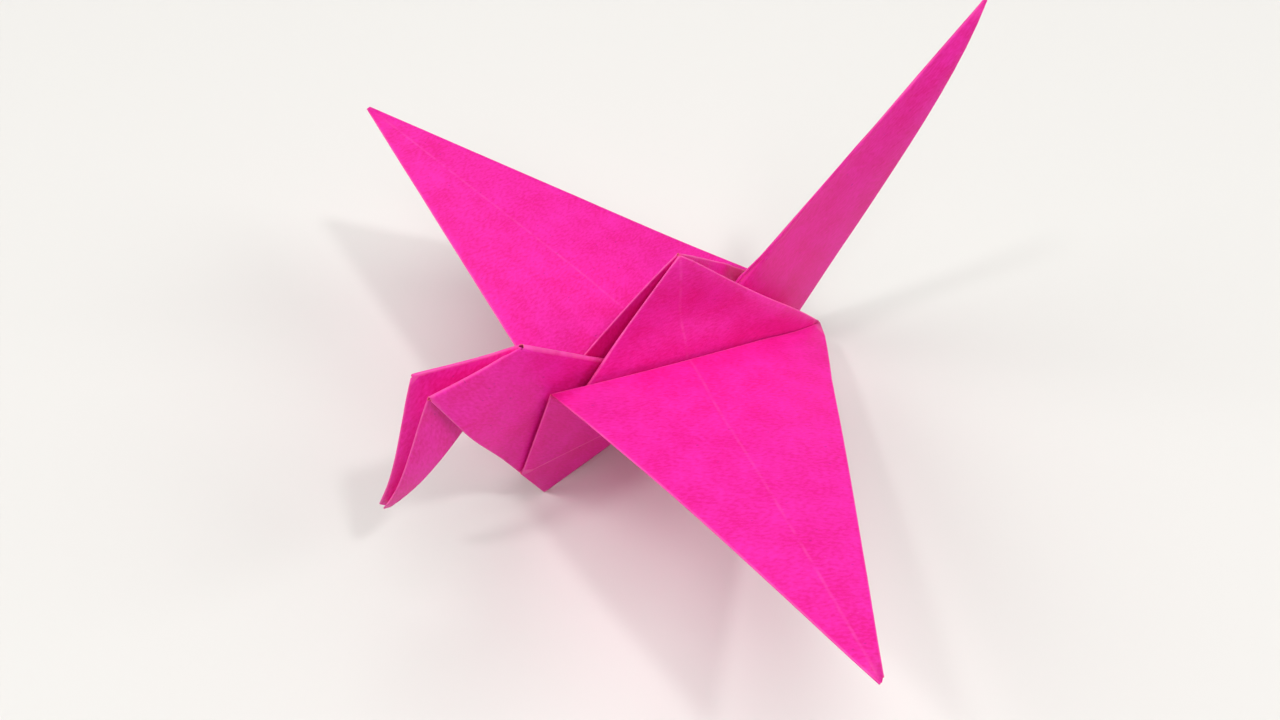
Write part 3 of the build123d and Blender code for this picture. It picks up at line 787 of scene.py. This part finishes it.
def paper_mesh(name, points, triangles, square, shift):
    """The middle surface as a mesh, with its places on the flat square as a UV map"""
    mesh = bpy.data.meshes.new(name)
    mesh.from_pydata((points * millimetre + np.array(shift)).tolist(), [], triangles.tolist())
    uv = mesh.uv_layers.new(name="square")
    loops = np.zeros(len(mesh.loops), dtype=np.int32)
    mesh.loops.foreach_get("vertex_index", loops)
    flat = square / (2 * corner_reach) + 0.5
    uv.data.foreach_set("uv", flat[loops].astype(np.float32).ravel())
    fold = mesh.attributes.new("fold_distance", "FLOAT", "POINT")
    fold.data.foreach_set("value", distance_to_fold(square).astype(np.float32))
    mesh.polygons.foreach_set("use_smooth", [True] * len(mesh.polygons))
    return mesh


class Tree:
    """Short words for building a node tree"""

    def __init__(self, tree):
        self.tree = tree

    def add(self, kind, **settings):
        """A node with its settings; a socket's value or link is given as inputs={name: value}"""
        inputs = settings.pop("inputs", {})
        node = self.tree.nodes.new(kind)
        for name, value in settings.items():
            setattr(node, name, value)
        for name, value in inputs.items():
            self.plug(value, node.inputs[name])
        return node

    def plug(self, value, socket):
        if isinstance(value, bpy.types.NodeSocket):
            self.tree.links.new(value, socket)
        else:
            socket.default_value = value

    def math(self, operation, *values):
        node = self.add("ShaderNodeMath", operation=operation)
        for value, socket in zip(values, node.inputs):
            self.plug(value, socket)
        return node.outputs[0]

    def fade(self, value, full, gone):
        """1 up to one value, then smoothly down to 0 at the other"""
        inputs = {"Value": value, "From Min": full, "From Max": gone, "To Min": 1.0, "To Max": 0.0}
        return self.add("ShaderNodeMapRange", interpolation_type="SMOOTHSTEP", inputs=inputs).outputs[0]

    def rise(self, value, low, high):
        """0 up to one value, then evenly up to 1 at the other"""
        inputs = {"Value": value, "From Min": low, "From Max": high}
        return self.add("ShaderNodeMapRange", inputs=inputs).outputs[0]

    def blend(self, factor, first, second):
        """A colour between two others"""
        node = self.add("ShaderNodeMix", data_type="RGBA")
        for value, k in ((factor, 0), (first, 6), (second, 7)):
            self.plug(value, node.inputs[k])
        return node.outputs[2]

    def vector(self, operation, *values):
        """A sum of vectors; where one is scaled, the number is the last value"""
        node = self.add("ShaderNodeVectorMath", operation=operation)
        if operation == "SCALE":
            self.plug(values[-1], node.inputs["Scale"])
            values = values[:-1]
        for value, socket in zip(values, node.inputs):
            self.plug(value, socket)
        return node.outputs["Vector"]


# Unevenness of the pressed sheet, in millimetres: how far from side to side, and how wide
dent_height = 0.08
dent_size = 11.0


def thickness_tree():
    """Geometry nodes: slight unevenness of pressed paper, and then its thickness"""
    tree = bpy.data.node_groups.new("paper thickness", "GeometryNodeTree")
    sockets = tree.interface
    sockets.new_socket("Sheet", in_out="INPUT", socket_type="NodeSocketGeometry")
    for name in ("Thickness", "Unevenness", "Dent size"):
        sockets.new_socket(name, in_out="INPUT", socket_type="NodeSocketFloat")
    sockets.new_socket("Paper", in_out="INPUT", socket_type="NodeSocketMaterial")
    sockets.new_socket("Folded paper", in_out="OUTPUT", socket_type="NodeSocketGeometry")
    t = Tree(tree)
    given = t.add("NodeGroupInput").outputs
    where = t.add("GeometryNodeInputPosition").outputs[0]
    normal = t.add("GeometryNodeInputNormal").outputs[0]

    dents = t.add(
        "ShaderNodeTexNoise",
        noise_dimensions="3D",
        inputs={"Vector": where, "Scale": t.math("DIVIDE", 1.0, given["Dent size"]), "Detail": 1.0},
    )
    centred = t.vector("SUBTRACT", dents.outputs["Color"], (0.5, 0.5, 0.5))
    uneven = t.add(
        "GeometryNodeSetPosition",
        inputs={"Geometry": given["Sheet"], "Offset": t.vector("SCALE", centred, given["Unevenness"])},
    ).outputs[0]
    half_down = t.vector("SCALE", normal, t.math("MULTIPLY", given["Thickness"], -0.5))
    underside = t.add(
        "GeometryNodeSetPosition", inputs={"Geometry": uneven, "Offset": half_down}
    ).outputs[0]
    raised = t.add(
        "GeometryNodeExtrudeMesh",
        mode="FACES",
        inputs={
            "Mesh": underside,
            "Offset": t.vector("SCALE", normal, given["Thickness"]),
            "Offset Scale": 1.0,
            "Individual": False,
        },
    )
    rim = t.add(
        "GeometryNodeStoreNamedAttribute",
        data_type="FLOAT",
        domain="FACE",
        inputs={"Geometry": raised.outputs["Mesh"], "Name": "raw_edge", "Value": raised.outputs["Side"]},
    ).outputs[0]
    rim = t.add(
        "GeometryNodeSetShadeSmooth",
        domain="FACE",
        inputs={"Geometry": rim, "Selection": raised.outputs["Side"], "Shade Smooth": False},
    ).outputs[0]
    turned = t.add("GeometryNodeFlipFaces", inputs={"Mesh": underside}).outputs[0]
    both = t.add("GeometryNodeJoinGeometry")
    for part in (turned, rim):
        tree.links.new(part, both.inputs[0])
    closed = t.add(
        "GeometryNodeMergeByDistance", inputs={"Geometry": both.outputs[0], "Distance": 1e-7}
    ).outputs[0]
    real = t.add("GeometryNodeRealizeInstances", inputs={"Geometry": closed}).outputs[0]
    dressed = t.add(
        "GeometryNodeSetMaterial", inputs={"Geometry": real, "Material": given["Paper"]}
    ).outputs[0]
    tree.links.new(dressed, t.add("NodeGroupOutput").inputs[0])
    return tree


def give_thickness(mesh, material):
    """Runs the thickness tree on the middle surface, and keeps the result as a plain mesh"""
    piece = bpy.data.objects.new(mesh.name, mesh)
    bpy.context.scene.collection.objects.link(piece)
    modifier = piece.modifiers.new("paper thickness", "NODES")
    modifier.node_group = thickness_tree()
    values = {
        "Thickness": paper_thickness * millimetre,
        "Unevenness": dent_height * millimetre,
        "Dent size": dent_size * millimetre,
        "Paper": material,
    }
    for item in modifier.node_group.interface.items_tree:
        if item.name in values:
            modifier[item.identifier] = values[item.name]
    depsgraph = bpy.context.evaluated_depsgraph_get()
    finished = bpy.data.meshes.new_from_object(piece.evaluated_get(depsgraph), depsgraph=depsgraph)
    piece.modifiers.clear()
    piece.data = finished
    return piece


# Colours of the paper and of what shows on it
deep_dye = (0.82, 0.002, 0.265, 1)
light_dye = (0.92, 0.016, 0.425, 1)
dark_fibre = (0.42, 0.004, 0.16, 1)
pale_fibre = (1.0, 0.10, 0.52, 1)
# Fold lines: worn paler, with a painted highlight where a fold catches the light
worn_fold_and_highlight = (1.0, 0.12, 0.46, 1)
flat_crease = (1.0, 0.13, 0.55, 1)
# Cut edges: paler, with a painted orange glow of light passing through the paper
cut_edge_and_glow = (0.90, 0.13, 0.20, 1)

# Patterns of the paper: sizes in millimetres, and how much of each goes into the dye's tone
cloud_size, cloud_share = 5.0, 0.38
grain_size, grain_share = 0.9, 0.62
grain_turn, grain_stretch = 0.6, 2.4
tone_range = (0.38, 0.62)
wear_size, wear_range = 2.2, (0.30, 0.70)
tooth_size, tooth_height = 0.22, 0.06

# Fibres: size of a cell, turn, stretch and the share of cells that hold one; then how they show
dark_fibres = [(2.6, 0.5, 2.2, 0.16), (2.2, 2.1, 2.6, 0.12)]
pale_fibres = (2.0, 1.3, 3.0, 0.10)
fibre_width = (0.05, 0.13)
dark_fibre_strength, pale_fibre_strength = 0.45, 0.30

# Distances from a fold, and from the flat crease, at which its line is full and at which it ends
fold_line = (0.08, 0.30)
crease_line = (0.05, 0.40)
# How strong the fold line is: a painted highlight even where unworn, more where worn; and how worn the
# flat crease is
unworn_fold_highlight, fold_wear, crease_wear = 0.3, 0.4, 0.24

# Gloss: roughness where the grain is lowest, what the grain adds and what a pressed fold takes
smoothest, grain_roughness, fold_polish = 0.48, 0.16, 0.12
reflection_level = 0.4


def pink_paper():
    """Dyed paper: cloudy pulp, loose fibres, fold lines worn pale with a painted highlight, and cut
    edges paler with a painted glow of light passing through them
    """
    material = bpy.data.materials.new("pink paper")
    material.use_nodes = True
    t = Tree(material.node_tree)
    shader = material.node_tree.nodes["Principled BSDF"]
    sheet_width = 2 * corner_reach
    flat = t.add("ShaderNodeUVMap", uv_map="square").outputs[0]
    fold = t.add("ShaderNodeAttribute", attribute_name="fold_distance").outputs["Fac"]
    raw_edge = t.add("ShaderNodeAttribute", attribute_name="raw_edge").outputs["Fac"]

    def noise(size, detail, vector=flat):
        inputs = {"Vector": vector, "Scale": sheet_width / size, "Detail": detail}
        return t.add("ShaderNodeTexNoise", inputs=inputs).outputs["Fac"]

    def laid(turn, stretch):
        """The flat sheet turned and squeezed, so that a pattern on it comes out drawn long"""
        inputs = {"Vector": flat, "Rotation": (0, 0, turn), "Scale": (1, stretch, 1)}
        return t.add("ShaderNodeMapping", inputs=inputs).outputs[0]

    def fibres(cell, turn, stretch, share):
        """Short loose fibres: one in some of the cells of a stretched pattern"""
        inputs = {"Vector": laid(turn, stretch), "Scale": sheet_width / cell}
        cells = t.add("ShaderNodeTexVoronoi", inputs=inputs)
        chosen = t.add("ShaderNodeSeparateColor", inputs={"Color": cells.outputs["Color"]}).outputs[0]
        chosen = t.math("LESS_THAN", chosen, share)
        return t.math("MULTIPLY", chosen, t.fade(cells.outputs["Distance"], *fibre_width))

    # Pulp: clouds of lighter and deeper dye, and a fine drawn grain
    clouds, grain = noise(cloud_size, 2.0), noise(grain_size, 3.0, laid(grain_turn, grain_stretch))
    shares = t.math("MULTIPLY", clouds, cloud_share), t.math("MULTIPLY", grain, grain_share)
    colour = t.blend(t.rise(t.math("ADD", *shares), *tone_range), deep_dye, light_dye)

    # Fibres that took more dye, and fewer that took less
    dark = t.math("MAXIMUM", *(fibres(*kind) for kind in dark_fibres))
    colour = t.blend(t.math("MULTIPLY", dark, dark_fibre_strength), colour, dark_fibre)
    pale = t.math("MULTIPLY", fibres(*pale_fibres), pale_fibre_strength)
    colour = t.blend(pale, colour, pale_fibre)

    # Fold lines are rubbed pale and carry a painted highlight where they catch the light; the flat
    # middle creases are rubbed pale only faintly
    wear = t.rise(noise(wear_size, 3.0), *wear_range)
    ragged = t.math("ADD", fold, t.math("MULTIPLY", grain, 0.12))
    fold_wear_and_highlight = t.math("MULTIPLY_ADD", wear, fold_wear, unworn_fold_highlight)
    line = t.math("MULTIPLY", t.fade(ragged, *fold_line), fold_wear_and_highlight)
    colour = t.blend(line, colour, worn_fold_and_highlight)
    across = t.add("ShaderNodeSeparateXYZ", inputs={"Vector": flat}).outputs["X"]
    across = t.math("ABSOLUTE", t.math("MULTIPLY_ADD", across, sheet_width, -corner_reach))
    crease = t.math("MULTIPLY", t.fade(across, *crease_line), t.math("MULTIPLY", wear, crease_wear))
    colour = t.blend(crease, colour, flat_crease)
    # Cut edges take their paler colour with its painted glow of light through the paper
    t.plug(t.blend(raw_edge, colour, cut_edge_and_glow), shader.inputs["Base Color"])

    # Matt, a little smoother where fingers pressed the folds, with a fine tooth
    roughness = t.math("MULTIPLY_ADD", grain, grain_roughness, smoothest)
    roughness = t.math("SUBTRACT", roughness, t.math("MULTIPLY", line, fold_polish))
    t.plug(roughness, shader.inputs["Roughness"])
    tooth = t.math("ADD", noise(tooth_size, 3.0), t.math("MULTIPLY", clouds, 0.8))
    tooth = t.math("SUBTRACT", tooth, t.math("MULTIPLY", crease, 1.2))
    inputs = {"Height": tooth, "Strength": 0.5, "Distance": tooth_height * millimetre}
    t.plug(t.add("ShaderNodeBump", inputs=inputs).outputs[0], shader.inputs["Normal"])
    shader.inputs["Specular IOR Level"].default_value = reflection_level
    return material


# Camera, fitted to the corners of the crane, in the fold's own millimetres
camera_place = Vector((-65.313, -78.718, 144.493))
camera_look = Vector((0.36945, 0.48934, -0.78997))
camera_right = Vector((0.80737, -0.58992, 0.01214))
focal_pixels = 962.15
picture_width = 1280


def make_camera(shift):
    look = camera_look.normalized()
    right = (camera_right - look * camera_right.dot(look)).normalized()
    up = right.cross(look)
    data = bpy.data.cameras.new("camera")
    data.sensor_width = 36.0
    data.lens = focal_pixels / picture_width * data.sensor_width
    data.clip_start = 0.01
    data.clip_end = 20
    camera = bpy.data.objects.new("camera", data)
    columns = Matrix((right, up, -look)).transposed()
    camera.matrix_world = Matrix.Translation(camera_place * millimetre + shift) @ columns.to_4x4()
    bpy.context.scene.collection.objects.link(camera)
    bpy.context.scene.camera = camera


# Lamps: place, width and power. The two small ones throw the clear shadows, and the wide ones
# light the shaded sides
lamps = {
    "room lamp on the right": ((0.68, -1.12, 2.46), 0.28, 13.6),
    "room lamp on the left": ((-1.40, 0.48, 2.38), 0.32, 10.4),
    "ceiling": ((0, 0, 2.80), 2.0, 25),
    "window behind the camera": ((-1.20, -1.60, 2.50), 2.0, 22),
    "window on the left": ((-1.90, 1.40, 1.50), 1.6, 28),
    "window on the right": ((1.90, -1.40, 1.50), 1.6, 26),
    "lamp past the tail": ((1.12, 1.44, 2.20), 1.4, 12),
}
lamp_aim = (0, 0, 0)
backdrop_colour = (1, 0.99, 0.97, 1)
backdrop_light = 0.04
backdrop_brightness = 0.84  # as the camera sees it


def area_light(name, place, width, watts):
    data = bpy.data.lights.new(name, "AREA")
    data.shape = "DISK"
    data.size = width
    data.energy = watts
    lamp = bpy.data.objects.new(name, data)
    place = Vector(place)
    turn = (Vector(lamp_aim) - place).to_track_quat("-Z", "Y").to_matrix().to_4x4()
    lamp.matrix_world = Matrix.Translation(place) @ turn
    bpy.context.scene.collection.objects.link(lamp)


def make_lights():
    for name, lamp in lamps.items():
        area_light(name, *lamp)
    world = bpy.data.worlds.new("studio")
    bpy.context.scene.world = world
    world.use_nodes = True
    t = Tree(world.node_tree)
    seen = t.add("ShaderNodeLightPath").outputs["Is Camera Ray"]
    brightness = t.math("MULTIPLY_ADD", seen, backdrop_brightness - backdrop_light, backdrop_light)
    background = world.node_tree.nodes["Background"]
    background.inputs["Color"].default_value = backdrop_colour
    t.plug(brightness, background.inputs["Strength"])


floor_half_width = 3.0
floor_colour = (0.77, 0.755, 0.725, 1)
floor_roughness = 0.7


def make_floor():
    mesh = bpy.data.meshes.new("floor")
    half = floor_half_width
    corners = [(-half, -half, 0), (half, -half, 0), (half, half, 0), (-half, half, 0)]
    mesh.from_pydata(corners, [], [(0, 1, 2, 3)])
    floor = bpy.data.objects.new("floor", mesh)
    bpy.context.scene.collection.objects.link(floor)
    material = bpy.data.materials.new("pale floor")
    material.use_nodes = True
    shader = material.node_tree.nodes["Principled BSDF"]
    shader.inputs["Base Color"].default_value = floor_colour
    shader.inputs["Roughness"].default_value = floor_roughness
    mesh.materials.append(material)


points, triangles, square = fold_paper()
shift = fold_to_frame(points)
make_camera(shift)
make_lights()
make_floor()
paper = give_thickness(paper_mesh("folded_paper", points, triangles, square, shift), pink_paper())
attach(paper, "root")
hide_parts("folded_sheet")
bpy.context.scene.view_settings.view_transform = "Standard"
